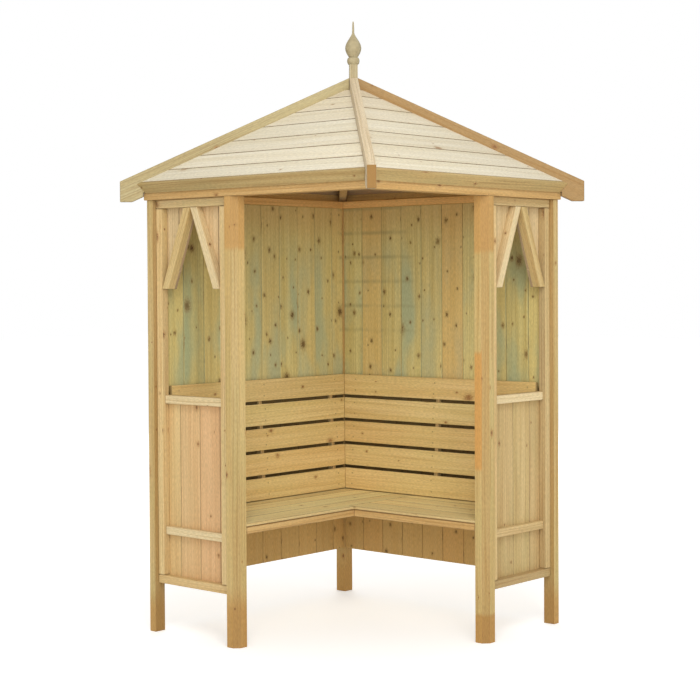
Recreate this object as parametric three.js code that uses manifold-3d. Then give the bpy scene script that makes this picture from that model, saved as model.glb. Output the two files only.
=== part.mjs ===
// Corner arbour: an L-shaped bench between two boarded walls, under a square hipped roof.
// Millimetres, +Z up, ground at zero, plan centre at the origin. The back corner lies at -X +Y
// and the open entry corner at +X -Y. The left wall runs along -X and the right wall along +Y.
// Each half is built in its own group: x runs from the back wall towards the entry, and
// y, times the group's outward sign, runs along the back wall out to the side panel.
import * as THREE from 'three';
import { mergeVertices } from 'three/addons/utils/BufferGeometryUtils.js';
import Module from 'manifold-3d';

const wasm = await Module();
wasm.setup();

// Plan, levels and fits
const wallSpan = 1200; // outside of a back wall to the outer face of the end post across from it
const half = wallSpan / 2;
const plateLevel = 1766; // top of the posts and underside of the ring of plates
const clearance = 0.3; // left between two pieces that seat on each other
const mitreGap = clearance / Math.SQRT2;
const overrun = 30; // how far a cutting solid runs past the work

// Posts
const backPost = { size: 52 };
const endPost = { width: 34, depth: 52 };
const entryPost = { size: 56, chamfer: 23, offset: 460, proud: 9 };

// Ring of plates over the posts, as wide as an entry post
const plate = { height: 32 };
const plateTop = plateLevel + plate.height;
const ringOuter = half + entryPost.proud;
const ringInner = ringOuter - entryPost.size;

// Matched boards of the walls and side panels
const board = { thickness: 12, cover: 115, narrowestShare: 0.25, groove: { width: 5, depth: 3 } };
const wall = { bottomLevel: 202, leftJoint: 77, rightJoint: 115 };
const wallBack = endPost.width + clearance;
const wallFace = wallBack + board.thickness;

// Side panels: framing outside, boards inside
const side = {
  setback: 18,
  outerStile: 34,
  innerStile: 55,
  railHeight: 34,
  bottomLevel: 200,
  lowerRailLevel: 401,
  sillLevel: 937,
  midRailSetback: 11,
  braceLevel: 1404,
  braceWidth: 38,
  firstBoard: 89,
};
const sideFace = wallSpan - side.setback;
const sideBack = wallSpan - endPost.depth;
const sideBoardFace = sideBack - clearance;
const sideBoardBack = sideBoardFace - board.thickness;
const sideBottomTop = side.bottomLevel + side.railHeight;
const sideHeadLevel = plateLevel - side.railHeight;
const sideFrom = endPost.width + clearance;
const sideTo = entryPost.offset - clearance;
const windowFrom = sideFrom + side.outerStile;
const windowTo = sideTo - side.innerStile;
const windowCentre = (windowFrom + windowTo) / 2;

// Bench
const seat = {
  top: 485,
  thickness: 12,
  lap: 26, // of the right wing's board ends on the left wing's front bearer
  groove: { width: 4, depth: 3 },
  bearerWidth: 34,
  bearerHeight: 30,
};
const seatUnderside = seat.top - seat.thickness;
const seatBack = wallFace + clearance;
const seatFront = entryPost.offset + entryPost.size;
const wingJoint = seatFront - seat.lap;
const seatEnd = sideBoardBack - clearance;
const entryPostInner = ringOuter - entryPost.size + half;
const seatFrontEnd = entryPostInner - clearance;

// Back rest: level slats on upright battens, leaning back
const rest = {
  slats: 5,
  slatWidth: 93,
  slatGap: 13.6,
  slatThickness: 16,
  footOffset: 98,
  footGap: 4,
  recline: THREE.MathUtils.degToRad(3.2),
  battenWidth: 20,
  battenOffset: 597,
};
const restFoot = seat.top + rest.footGap;

// Roof
const roof = {
  pitch: THREE.MathUtils.degToRad(32.5),
  eaves: 40,
  thickness: 12,
  cover: 108,
  groove: { width: 4, depth: 3 },
  peakWidth: 30,
};
const fascia = { height: 45, thickness: 16 };
const hip = { thickness: 34, depth: 95, proud: 34, overhang: 76, tailCut: 83 };
const eavesReach = half + roof.eaves;
const fasciaFoot = eavesReach - fascia.height * Math.sin(roof.pitch);
const fasciaFootLevel =
  plateTop + clearance / Math.cos(roof.pitch) - (fasciaFoot - ringOuter) * Math.tan(roof.pitch);
const eavesLevel = fasciaFootLevel + fascia.height * Math.cos(roof.pitch);
const roofApex = eavesLevel + eavesReach * Math.tan(roof.pitch);
const hipSlope = Math.tan(roof.pitch) / Math.SQRT2;
const hipApex = roofApex + hip.proud;
const hipSide = (hip.thickness / 2 + clearance) * Math.SQRT2;

// Finial: a turned head on a square shaft that the hips close on
const finial = {
  shaft: 34,
  shaftTail: 125, // below the tops of the hips
  shaftReveal: 56, // above them
  collarRadius: 25.5,
  collarHeight: 30,
  neckRadius: 19,
  bulbRadius: 33,
  bulbHeight: 101,
  taperPower: 0.75,
  spikeRadius: 4.5,
  spikeHeight: 46,
  tipRadius: 2.2,
  sides: 32,
};

// Finish of each kind of piece
const finishes = {
  post: { color: '#cfae6d', roughness: 0.78 },
  framing: { color: '#dcc187', roughness: 0.76 },
  plate: { color: '#d0a05c', roughness: 0.76 },
  sideBoards: { color: '#d9b98a', roughness: 0.8 },
  wallBoards: { color: '#b0a062', roughness: 0.82 },
  slats: { color: '#ccac68', roughness: 0.75 },
  seat: { color: '#cdb67c', roughness: 0.75 },
  roofBoards: { color: '#e9dfc2', roughness: 0.82 },
  fascia: { color: '#b7a468', roughness: 0.78 },
  hip: { color: '#c39a59', roughness: 0.78 },
  finial: { color: '#c6b083', roughness: 0.74 },
};

const arbour = new THREE.Group();

function addPiece(parent, name, geometry, finish) {
  const material = new THREE.MeshStandardMaterial({ metalness: 0, ...finishes[finish] });
  const mesh = new THREE.Mesh(geometry, material);
  mesh.name = name;
  parent.add(mesh);
  return mesh;
}

function outlineShape(points) {
  return new THREE.Shape(points.map(([x, y]) => new THREE.Vector2(x, y)));
}

function extrude(points, depth) {
  return new THREE.ExtrudeGeometry(outlineShape(points), { depth, bevelEnabled: false });
}

// Booleans on closed geometry
function toManifold(geometry) {
  const plain = geometry.clone();
  plain.deleteAttribute('normal');
  plain.deleteAttribute('uv');
  const welded = mergeVertices(plain);
  const mesh = new wasm.Mesh({
    numProp: 3,
    vertProperties: new Float32Array(welded.attributes.position.array),
    triVerts: new Uint32Array(welded.index.array),
  });
  return new wasm.Manifold(mesh);
}

function fromManifold(solid) {
  const mesh = solid.getMesh();
  const geometry = new THREE.BufferGeometry();
  geometry.setAttribute('position', new THREE.BufferAttribute(mesh.vertProperties, 3));
  geometry.setIndex(new THREE.BufferAttribute(mesh.triVerts, 1));
  geometry.computeVertexNormals();
  return geometry;
}

// A rectangular stick in a half's group, given by its reach from the back wall,
// its reach along the wall and its levels
function addStick(parent, name, reach, along, levels, finish) {
  const size = [reach, along, levels].map(([from, to]) => to - from);
  const centre = [reach, along, levels].map(([from, to]) => (from + to) / 2);
  const mesh = addPiece(parent, name, new THREE.BoxGeometry(...size), finish);
  mesh.position.set(centre[0], parent.userData.outward * centre[1], centre[2]);
  return mesh;
}

// A plan outline in a half's group, raised between two levels
function addColumn(parent, name, outline, levels, finish) {
  const points = outline.map(([reach, along]) => [reach, parent.userData.outward * along]);
  const mesh = addPiece(parent, name, extrude(points, levels[1] - levels[0]), finish);
  mesh.position.z = levels[0];
  return mesh;
}

// An upright outline of reach and level in a half's group, carried along the wall
function addProfile(parent, name, outline, along, finish) {
  const outward = parent.userData.outward;
  const mesh = addPiece(parent, name, extrude(outline, along[1] - along[0]), finish);
  mesh.rotation.x = Math.PI / 2;
  mesh.position.y = Math.max(outward * along[0], outward * along[1]);
  return mesh;
}

// Outline of a run of matched boards: a flat back, and a V groove in the face at every joint.
// No board is left narrower than a share of the cover at the far end.
function boardRun(from, to, firstJoint, cover, back, face, groove) {
  const inward = Math.sign(back - face);
  const points = [[from, face]];
  const lastJoint = to - board.narrowestShare * cover;
  for (let joint = firstJoint; joint < lastJoint; joint += cover) {
    points.push([joint - groove.width / 2, face]);
    points.push([joint, face + inward * groove.depth]);
    points.push([joint + groove.width / 2, face]);
  }
  points.push([to, face], [to, back], [from, back]);
  return points;
}

const swap = (points) => points.map(([x, y]) => [y, x]);

// Posts at the end of the back wall and beside the entry
function addPosts(group, name) {
  const levels = [0, plateLevel - clearance];
  addStick(group, `${name}_end_post`, [0, endPost.width], [sideBack, wallSpan], levels, 'post');
  const [near, far] = [entryPost.offset, entryPost.offset + entryPost.size];
  const outer = wallSpan + entryPost.proud;
  const outline = [
    [near, outer - entryPost.size],
    [far, outer - entryPost.size],
    [far, outer - entryPost.chamfer],
    [far - entryPost.chamfer, outer],
    [near, outer],
  ];
  addColumn(group, `${name}_entry_post`, outline, levels, 'post');
}

// Boarded back wall, grooved on the room side
function addWallBoards(group, name) {
  const from = backPost.size + clearance;
  const firstJoint = wallFace + wall[`${name}Joint`];
  const run = boardRun(from, sideBoardFace, firstJoint, board.cover, wallBack, wallFace, board.groove);
  const levels = [wall.bottomLevel, plateLevel - clearance];
  addColumn(group, `${name}_wall_boards`, swap(run), levels, 'wallBoards');
}

// Side panel: bottom and top rails, two stiles between them, sill and lower rail, two braces
// that make the pointed window head, and the boards behind
function addSideFrame(group, name) {
  const depth = [sideBack, sideFace];
  const width = [sideFrom, sideTo];
  const stileLevels = [sideBottomTop + clearance, sideHeadLevel - clearance];
  const bottom = [side.bottomLevel, sideBottomTop];
  addStick(group, `${name}_side_bottom_rail`, width, depth, bottom, 'framing');
  const top = [sideHeadLevel, plateLevel - clearance];
  addStick(group, `${name}_side_top_rail`, width, depth, top, 'framing');
  addStick(group, `${name}_side_outer_stile`, [sideFrom, windowFrom], depth, stileLevels, 'framing');
  addStick(group, `${name}_side_inner_stile`, [windowTo, sideTo], depth, stileLevels, 'framing');

  const midWidth = [windowFrom + clearance, windowTo - clearance];
  const midDepth = [sideBack, sideFace - side.midRailSetback];
  const lower = [side.lowerRailLevel, side.lowerRailLevel + side.railHeight];
  addStick(group, `${name}_side_lower_rail`, midWidth, midDepth, lower, 'framing');
  const sill = [side.sillLevel, side.sillLevel + side.railHeight];
  addStick(group, `${name}_side_sill`, midWidth, midDepth, sill, 'framing');
}

function windowHead() {
  const halfWidth = (windowTo - windowFrom) / 2 - clearance;
  return {
    foot: halfWidth - side.braceWidth,
    outerFoot: halfWidth,
    top: sideHeadLevel - clearance,
  };
}

function addBraces(group, name) {
  const head = windowHead();
  const depth = [sideBack, sideFace];
  const outline = [
    [head.outerFoot, side.braceLevel],
    [head.foot, side.braceLevel],
    [clearance / 2, head.top],
    [clearance / 2 + side.braceWidth, head.top],
  ];
  const towardsEntry = outline.map(([x, level]) => [windowCentre + x, level]);
  const towardsWall = outline.map(([x, level]) => [windowCentre - x, level]);
  addProfile(group, `${name}_side_inner_brace`, towardsEntry, depth, 'framing');
  addProfile(group, `${name}_side_outer_brace`, towardsWall, depth, 'framing');
}

function addSideBoards(group, name) {
  const outward = group.userData.outward;
  const from = wallFace + clearance;
  const firstJoint = wallFace + side.firstBoard;
  const run = boardRun(
    from, sideTo, firstJoint, board.cover, sideBoardBack, sideBoardFace, board.groove,
  );
  const lower = [side.bottomLevel, side.sillLevel + side.railHeight];
  addColumn(group, `${name}_side_lower_boards`, run, lower, 'sideBoards');

  // The boards of the head are cut along the inner edges of the braces
  const head = windowHead();
  const levels = [side.braceLevel, plateLevel - clearance];
  const points = run.map(([reach, along]) => [reach, outward * along]);
  const blank = extrude(points, levels[1] - levels[0]);
  blank.translate(0, 0, levels[0]);
  const slope = head.foot / (head.top - side.braceLevel);
  const cutFoot = head.foot + overrun * slope;
  const cutter = extrude(
    [
      [windowCentre - cutFoot, side.braceLevel - overrun],
      [windowCentre + cutFoot, side.braceLevel - overrun],
      [windowCentre, head.top],
    ],
    board.thickness + 2 * overrun,
  );
  cutter.rotateX(Math.PI / 2);
  const middle = outward * (sideBoardBack + board.thickness / 2);
  cutter.translate(0, middle + board.thickness / 2 + overrun, 0);
  const cut = toManifold(blank).subtract(toManifold(cutter));
  addPiece(group, `${name}_side_head_boards`, fromManifold(cut), 'sideBoards');
}

// Back rest: the slats meet their neighbours of the other wall in a mitre at the corner
function addBackRest(group, name) {
  const outward = group.userData.outward;
  const up = new THREE.Vector2(-Math.sin(rest.recline), Math.cos(rest.recline));
  const back = new THREE.Vector2(-Math.cos(rest.recline), -Math.sin(rest.recline));
  back.multiplyScalar(rest.slatThickness);
  const foot = new THREE.Vector2(rest.footOffset, restFoot);
  for (let index = 0; index < rest.slats; index += 1) {
    const rise = index * (rest.slatWidth + rest.slatGap);
    const low = foot.clone().addScaledVector(up, rise);
    const high = low.clone().addScaledVector(up, rest.slatWidth);
    const section = [low, high, high.clone().add(back), low.clone().add(back)];
    const outline = section.map((point) => [point.x, point.y]);
    const geometry = extrude(outline, 1);
    const position = geometry.attributes.position;
    for (let i = 0; i < position.count; i += 1) {
      const reach = position.getX(i);
      const nearEnd = outward < 0 ? position.getZ(i) < 0.5 : position.getZ(i) > 0.5;
      const along = nearEnd ? reach + mitreGap : seatEnd;
      position.setXYZ(i, reach, outward * along, position.getY(i));
    }
    geometry.computeVertexNormals();
    addPiece(group, `${name}_rest_slat_${index + 1}`, geometry, 'slats');
  }

  // Wedge-shaped batten between the wall and the backs of the slats
  const length = rest.slats * rest.slatWidth + (rest.slats - 1) * rest.slatGap;
  const top = restFoot + length * Math.cos(rest.recline);
  const bottom = seat.top + clearance;
  const offset = rest.footOffset - (rest.slatThickness + clearance) / Math.cos(rest.recline);
  const frontAt = (level) => offset - (level - restFoot) * Math.tan(rest.recline);
  const wedge = [
    [wallFace + clearance, bottom],
    [frontAt(bottom), bottom],
    [frontAt(top), top],
    [wallFace + clearance, top],
  ];
  const along = [rest.battenOffset, rest.battenOffset + rest.battenWidth];
  addProfile(group, `${name}_rest_batten`, wedge, along, 'framing');
}

// Bench: the left wing runs through to the right wall, and the right wing's boards end on
// the left wing's front bearer. The front boards pass the side boards to reach the entry posts.
function addSeat(group, name, runsThrough) {
  const outward = group.userData.outward;
  const from = runsThrough ? seatBack : wingJoint + clearance;
  const run = boardRun(
    seatBack, seatFront, seatBack + board.cover, board.cover, seatUnderside, seat.top, seat.groove,
  );
  const slab = extrude(run, seatFrontEnd - from);
  slab.rotateX(Math.PI / 2);
  slab.translate(0, Math.max(outward * from, outward * seatFrontEnd), 0);

  const cuts = [[[seatBack - overrun, entryPost.offset], [seatEnd, seatFrontEnd + overrun]]];
  if (runsThrough) {
    // Room for the back post, and for the boards of the other wing
    const notch = backPost.size + clearance;
    cuts.push([[seatBack - overrun, notch], [seatBack - overrun, notch]]);
    cuts.push([[wingJoint, seatFront + overrun], [seatBack - overrun, seatFront + clearance]]);
  }
  let solid = toManifold(slab);
  for (const [reach, along] of cuts) {
    const size = [reach[1] - reach[0], along[1] - along[0], seat.thickness + 2 * overrun];
    const cutter = new THREE.BoxGeometry(...size);
    const level = seat.top - seat.thickness / 2;
    cutter.translate((reach[0] + reach[1]) / 2, outward * (along[0] + along[1]) / 2, level);
    solid = solid.subtract(toManifold(cutter));
  }
  addPiece(group, `${name}_seat_boards`, fromManifold(solid), 'seat');

  const reach = [seatFront - seat.bearerWidth, seatFront];
  const along = [runsThrough ? seatBack : seatFront + clearance, seatFrontEnd];
  const top = seatUnderside - clearance;
  const levels = [top - seat.bearerHeight, top];
  addStick(group, `${name}_seat_bearer`, reach, along, levels, 'seat');
}

// Everything of one half, as seen from the entry
function addHalf(name) {
  const group = new THREE.Group();
  const isLeft = name === 'left';
  group.position.set(-half, half, 0);
  group.rotation.z = isLeft ? 0 : -Math.PI / 2;
  group.userData.outward = isLeft ? -1 : 1;
  arbour.add(group);
  addPosts(group, name);
  addWallBoards(group, name);
  addSideFrame(group, name);
  addBraces(group, name);
  addSideBoards(group, name);
  addBackRest(group, name);
  addSeat(group, name, isLeft);
}

function addBackPost() {
  const height = plateLevel - clearance;
  const geometry = new THREE.BoxGeometry(backPost.size, backPost.size, height);
  const mesh = addPiece(arbour, 'back_corner_post', geometry, 'post');
  const offset = backPost.size / 2 - half;
  mesh.position.set(offset, -offset, height / 2);
}

// Plan of one roof side between the faces of its two hips, as an upright wedge
function sideWedge() {
  const reach = eavesReach + overrun;
  const points = [
    [0, -hipSide],
    [-(reach - hipSide), -reach],
    [reach - hipSide, -reach],
  ];
  const wedge = extrude(points, roofApex - plateLevel + 2 * overrun);
  wedge.translate(0, 0, plateLevel - overrun);
  return toManifold(wedge);
}

// A section of slope and depth below the roof surface, carried along the eaves and cut
// to the hips. Slope is measured up from the eaves edge.
function slopePiece(section, wedge) {
  const length = 2 * (eavesReach + overrun);
  const geometry = extrude(section, length);
  const upSlope = new THREE.Vector3(0, Math.cos(roof.pitch), Math.sin(roof.pitch));
  const outOfRoof = new THREE.Vector3(0, -Math.sin(roof.pitch), Math.cos(roof.pitch));
  const alongEaves = new THREE.Vector3(1, 0, 0);
  const basis = new THREE.Matrix4().makeBasis(upSlope, outOfRoof, alongEaves);
  basis.setPosition(-length / 2, -eavesReach, eavesLevel);
  geometry.applyMatrix4(basis);
  return fromManifold(toManifold(geometry).intersect(wedge));
}

function hipOutline() {
  const plumbDepth = hip.depth * Math.hypot(1, hipSlope);
  const topAt = (reach) => hipApex - hipSlope * reach;
  const underAt = (reach) => topAt(reach) - plumbDepth;
  const head = finial.shaft / 2 + clearance;
  const tail = (half + hip.overhang) * Math.SQRT2;
  const tailLevel = topAt(tail) - hip.tailCut;
  const tailTurn = (hipApex - plumbDepth - tailLevel) / hipSlope;
  const heel = ringOuter * Math.SQRT2 + clearance;
  const seatLevel = plateTop + clearance;
  const seatStart = (hipApex - plumbDepth - seatLevel) / hipSlope;
  return [
    [head, topAt(head)],
    [head, underAt(head)],
    [seatStart, seatLevel],
    [heel, seatLevel],
    [heel, underAt(heel)],
    [tailTurn, tailLevel],
    [tail, tailLevel],
    [tail, topAt(tail)],
  ];
}

// Four alike sides of roof and ring, turned a quarter each
function addRoof() {
  const wedge = sideWedge();
  const slopeLength = (eavesReach - hipSide - roof.peakWidth / 2) / Math.cos(roof.pitch);
  const boards = boardRun(
    fascia.thickness + clearance, slopeLength, roof.cover, roof.cover, -roof.thickness, 0, roof.groove,
  );
  const strip = [
    [0, -fascia.height],
    [fascia.thickness, -fascia.height],
    [fascia.thickness, 0],
    [0, 0],
  ];
  const ring = [
    [mitreGap - ringOuter, -ringOuter],
    [ringOuter - mitreGap, -ringOuter],
    [ringInner - mitreGap, -ringInner],
    [mitreGap - ringInner, -ringInner],
  ];
  ['left_side', 'right_side', 'right_back', 'left_back'].forEach((name, quarter) => {
    const group = new THREE.Group();
    group.rotation.z = (quarter * Math.PI) / 2;
    arbour.add(group);
    addPiece(group, `${name}_roof_boards`, slopePiece(boards, wedge), 'roofBoards');
    addPiece(group, `${name}_fascia`, slopePiece(strip, wedge), 'fascia');
    const plateMesh = addPiece(group, `${name}_plate`, extrude(ring, plate.height), 'plate');
    plateMesh.position.z = plateLevel;
  });
  ['entry', 'right', 'back', 'left'].forEach((name, quarter) => {
    const group = new THREE.Group();
    group.rotation.z = (quarter * Math.PI) / 2 - Math.PI / 4;
    arbour.add(group);
    const mesh = addPiece(group, `${name}_hip`, extrude(hipOutline(), hip.thickness), 'hip');
    mesh.rotation.x = Math.PI / 2;
    mesh.position.y = hip.thickness / 2;
  });
}

// Turned head: collar, bulb and spike, with its shaft square to the hips
function addFinial() {
  const hipTop = hipApex - (hipSlope * finial.shaft) / 2;
  const collarLevel = hipTop + finial.shaftReveal;
  const bulbLevel = collarLevel + finial.collarHeight;
  const spikeLevel = bulbLevel + finial.bulbHeight;
  const profile = [new THREE.Vector2(0, collarLevel)];
  const collarBulge = finial.collarRadius - finial.neckRadius;
  const collarSteps = 8;
  for (let step = 0; step <= collarSteps; step += 1) {
    const share = step / collarSteps;
    const radius = finial.neckRadius + collarBulge * Math.sin(Math.PI * share) ** 0.5;
    profile.push(new THREE.Vector2(radius, collarLevel + share * finial.collarHeight));
  }
  const bulbSteps = 16;
  const widestShare = 0.36;
  for (let step = 1; step <= bulbSteps; step += 1) {
    const share = step / bulbSteps;
    const fromLow = share / widestShare;
    const fromHigh = (1 - share) / (1 - widestShare);
    const low = finial.neckRadius
      + (finial.bulbRadius - finial.neckRadius) * Math.sin((Math.PI / 2) * Math.min(fromLow, 1));
    const swell = ((1 - Math.cos(Math.PI * Math.min(fromHigh, 1))) / 2) ** finial.taperPower;
    const high = finial.spikeRadius + (finial.bulbRadius - finial.spikeRadius) * swell;
    const radius = share < widestShare ? low : high;
    profile.push(new THREE.Vector2(radius, bulbLevel + share * finial.bulbHeight));
  }
  profile.push(new THREE.Vector2(finial.tipRadius, spikeLevel + finial.spikeHeight));
  profile.push(new THREE.Vector2(0, spikeLevel + finial.spikeHeight));
  const head = new THREE.LatheGeometry(profile, finial.sides);
  head.rotateX(Math.PI / 2);

  const shaftBottom = hipTop - finial.shaftTail;
  const height = collarLevel + finial.collarHeight / 2 - shaftBottom;
  const shaft = new THREE.BoxGeometry(finial.shaft, finial.shaft, height);
  shaft.translate(0, 0, shaftBottom + height / 2);
  const solid = toManifold(head).add(toManifold(shaft));
  const mesh = addPiece(arbour, 'finial', fromManifold(solid), 'finial');
  mesh.rotation.z = Math.PI / 4;
}

addBackPost();
addHalf('left');
addHalf('right');
addRoof();
addFinial();

export default arbour;
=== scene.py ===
import math
import random
import bpy
from mathutils import Matrix, Vector


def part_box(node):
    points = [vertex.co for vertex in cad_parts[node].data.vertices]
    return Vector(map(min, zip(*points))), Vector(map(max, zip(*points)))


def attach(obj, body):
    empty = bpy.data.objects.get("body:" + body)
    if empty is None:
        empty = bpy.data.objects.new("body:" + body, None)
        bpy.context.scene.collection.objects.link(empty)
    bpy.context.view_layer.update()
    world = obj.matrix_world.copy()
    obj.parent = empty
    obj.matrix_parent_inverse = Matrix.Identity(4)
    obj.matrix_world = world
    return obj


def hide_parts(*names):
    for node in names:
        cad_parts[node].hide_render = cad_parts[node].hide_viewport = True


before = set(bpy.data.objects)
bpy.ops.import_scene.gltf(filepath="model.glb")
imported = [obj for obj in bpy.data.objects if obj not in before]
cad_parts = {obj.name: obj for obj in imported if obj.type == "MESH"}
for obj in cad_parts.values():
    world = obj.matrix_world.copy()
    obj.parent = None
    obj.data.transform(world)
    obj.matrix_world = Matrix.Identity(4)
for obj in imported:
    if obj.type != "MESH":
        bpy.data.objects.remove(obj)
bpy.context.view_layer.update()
bpy.ops.object.select_all(action="DESELECT")
random.seed(11)
print("frame loaded", len(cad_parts), "nodes")

# camera, solved from the posts, rails and roof edges of the photo
camera = {
    "lens": 83.5,
    "sensor": 36,
    "place": (4.4146, -5.0359, 1.4278),
    "azimuth": 41.38,
    "pitch": -1.337,
    "roll": -0.299,
    "shift": (-0.0009, -0.0426),
    "nearest": 0.1,
}
azimuth = math.radians(camera["azimuth"])
pitch = math.radians(camera["pitch"])
bpy.ops.object.camera_add(location=camera["place"], rotation=(math.pi / 2 + pitch, 0, azimuth))
eye = bpy.context.object
eye.name = "eye"
eye.rotation_euler.rotate_axis("Z", math.radians(camera["roll"]))
eye.data.lens = camera["lens"]
eye.data.sensor_width = camera["sensor"]
eye.data.shift_x, eye.data.shift_y = camera["shift"]
eye.data.clip_start = camera["nearest"]
bpy.context.scene.camera = eye
print("camera set")


# timber
def linear(colour):
    # colours are written as they look on screen, 0 to 255
    shares = [value / 255 for value in colour]
    return [s / 12.92 if s <= 0.04045 else ((s + 0.055) / 1.055) ** 2.4 for s in shares] + [1.0]


knotLook = {
    "sizes": (  # large and small knots: cells in each metre along and across, radius from and to
        {"cells": (2.6, 9.0), "radii": (0.0055, 0.0115)},
        {"cells": (6.0, 17.0), "radii": (0.0022, 0.0052)},
    ),
    "scatter": 0.9,
    "stretch": 0.75,  # less than 1 makes them longer along the grain
    "sizePower": 1.6,  # more makes more of them small
    "edge": {"scales": (110, 150), "detail": 4.0, "rough": 0.65},
    "ragged": 3.6,
    "core": (1.2, 0.5),  # where each part fades out and is full, in radii
    "rim": (2.3, 0.9),
    "halo": (4.0, 0.9),
    "faintest": 0.55,
}


class Graph:
    # adds and links the shader nodes of a material or of the world
    def __init__(self, owner):
        owner.use_nodes = True
        self.tree = owner.node_tree

    def feed(self, node, sockets):
        for socket, source in sockets.items():
            if isinstance(source, bpy.types.NodeSocket):
                self.tree.links.new(source, node.inputs[socket])
            else:
                node.inputs[socket].default_value = source
        return node

    def add(self, kind, sockets=None, **settings):
        node = self.tree.nodes.new(kind)
        for name, value in settings.items():
            setattr(node, name, value)
        return self.feed(node, sockets or {})

    def maths(self, operation, first, second=0.0):
        return self.add("ShaderNodeMath", {0: first, 1: second}, operation=operation).outputs[0]

    def plus(self, first, second):
        return self.maths("ADD", first, second)

    def times(self, first, *others):
        for other in others:
            first = self.maths("MULTIPLY", first, other)
        return first

    def vectorMaths(self, operation, first, second=(0, 0, 0)):
        return self.add("ShaderNodeVectorMath", {0: first, 1: second}, operation=operation).outputs[0]

    def length(self, vector):
        return self.add("ShaderNodeVectorMath", {0: vector}, operation="LENGTH").outputs["Value"]

    def vector(self, x, y, z=0.0):
        return self.add("ShaderNodeCombineXYZ", {0: x, 1: y, 2: z}).outputs[0]

    def parts(self, vector):
        return self.add("ShaderNodeSeparateXYZ", {0: vector}).outputs

    def attribute(self, layer):
        return self.add("ShaderNodeAttribute", attribute_name=layer).outputs["Fac"]

    def noise(self, vector, scale=1.0, detail=2.0, rough=0.5):
        sockets = {"Vector": vector, "Scale": scale, "Detail": detail, "Roughness": rough}
        return self.add("ShaderNodeTexNoise", sockets).outputs["Fac"]

    def field(self, along, across, scales, **settings):
        # noise with one scale along the grain and one across it
        scaled = self.vector(self.times(along, scales[0]), self.times(across, scales[1]))
        return self.noise(scaled, **settings)

    def span(self, value, low, high, start=0.0, end=1.0):
        sockets = {"Value": value, "From Min": low, "From Max": high, "To Min": start, "To Max": end}
        return self.add("ShaderNodeMapRange", sockets, interpolation_type="SMOOTHSTEP").outputs["Result"]

    def mix(self, share, first, second, blend="MIX"):
        sockets = {0: share, 6: first, 7: second}
        return self.add("ShaderNodeMix", sockets, data_type="RGBA", blend_type=blend).outputs[2]

    def knotLayer(self, along, across, share, cells, radii):
        # one knot in some of the cells of a Voronoi pattern, its outline in real metres
        scaled = self.vector(self.times(along, cells[0]), self.times(across, cells[1]))
        sockets = {"Vector": scaled, "Scale": 1.0, "Randomness": knotLook["scatter"]}
        cell = self.add("ShaderNodeTexVoronoi", sockets, voronoi_dimensions="2D")
        offset = self.vectorMaths("SUBTRACT", scaled, cell.outputs["Position"])
        metres = (knotLook["stretch"] / cells[0], 1 / cells[1], 0)
        distance = self.length(self.vectorMaths("MULTIPLY", offset, metres))
        chance = self.add("ShaderNodeSeparateColor", {0: cell.outputs["Color"]}).outputs
        present = self.maths("GREATER_THAN", chance[0], 1 - share)
        radius = self.span(self.maths("POWER", chance[1], knotLook["sizePower"]), 0, 1, *radii)
        ragged = self.maths("SUBTRACT", self.field(along, across, **knotLook["edge"]), 0.5)
        ratio = self.plus(self.maths("DIVIDE", distance, radius), self.times(ragged, knotLook["ragged"]))
        spans = (self.span(ratio, *knotLook[part]) for part in ("core", "halo", "rim"))
        core, halo, rim = (self.times(span, present) for span in spans)
        return self.times(core, self.span(chance[2], 0, 1, knotLook["faintest"], 1)), halo, rim


def startMaterial(name):
    material = bpy.data.materials.new(name)
    graph = Graph(material)
    return material, graph, graph.tree.nodes["Principled BSDF"]


faceLayers = ("tone", "warm", "dirt", "inside")  # what each face tells its material
timberLook = {
    # noise fields, their scales for one metre along and across the grain
    "sway": {"scales": (1.1, 5)},
    "streak": {"scales": (0.9, 34), "detail": 3.0, "rough": 0.6},
    "growth": {"scales": (1.6, 150)},
    "fibre": {"scales": (18, 900), "detail": 1.0},
    "speckle": {"scales": (60, 300), "detail": 1.0},
    "cloud": {"scales": (2.2, 7), "detail": 3.0},
    # how far the sway and the knots push the grain aside, in metres
    "swayWidth": 0.035,
    "knotPush": 0.010,
    # where a field starts to show and is full, and what it then gives if that isn't 0 to 1
    "streaks": (0.3, 0.72),
    "lines": (0.48, 0.66),
    "fibres": (0.45, 0.8),
    "speckles": (0.25, 0.75, 0.88, 1.10),
    "rough": (0.2, 0.8, 0.66, 0.80),
    "fibreShare": 0.18,
    "haloShare": 0.3,
    "rimShare": 0.5,
    "coreShare": 0.85,
    "growthHeight": 0.5,
    "fibreHeight": 0.35,
    "knotHeight": -0.4,
    "bump": {"Distance": 0.0008, "Strength": 0.55},
    "specular": 0.35,
}
stainLook = {
    "clouds": (0.42, 0.66),
    "rise": (-0.25, 0.1),  # from the lowest stain level
    "fall": (0.1, -0.2),  # from the highest one
    "outside": 0.3,
    "zoneRipple": 0.05,
    "patchRipple": 0.25,
    "patchEdge": (1.04, 0.94),
}
placeLook = {
    # where each one fades in, in metres from the middle of the arbour or above the ground
    "far": (0.18, 0.34),
    "bandX": (-0.05, -0.3),
    "bandY": (0.5, 0.54),
    "bandFoot": (1.15, 1.2),
    # the next two bound the painted shade on the wall at the back rest's gaps
    "behindFoot": (0.484, 0.494),
    "behindTop": (0.995, 0.975),
    # how strong it is there, the bands more so where the wall is cloudy
    "farLevel": (1.0, 1.5, 0.85, 1.0),
    "bandShare": (0.35, 0.55, 0.1, 0.4),
    "behindShare": 0.85,
    "bandWidth": 0.13,  # half the width of a band, as a share of the spacing
    "bandTint": (140, 130, 92),
}


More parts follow.
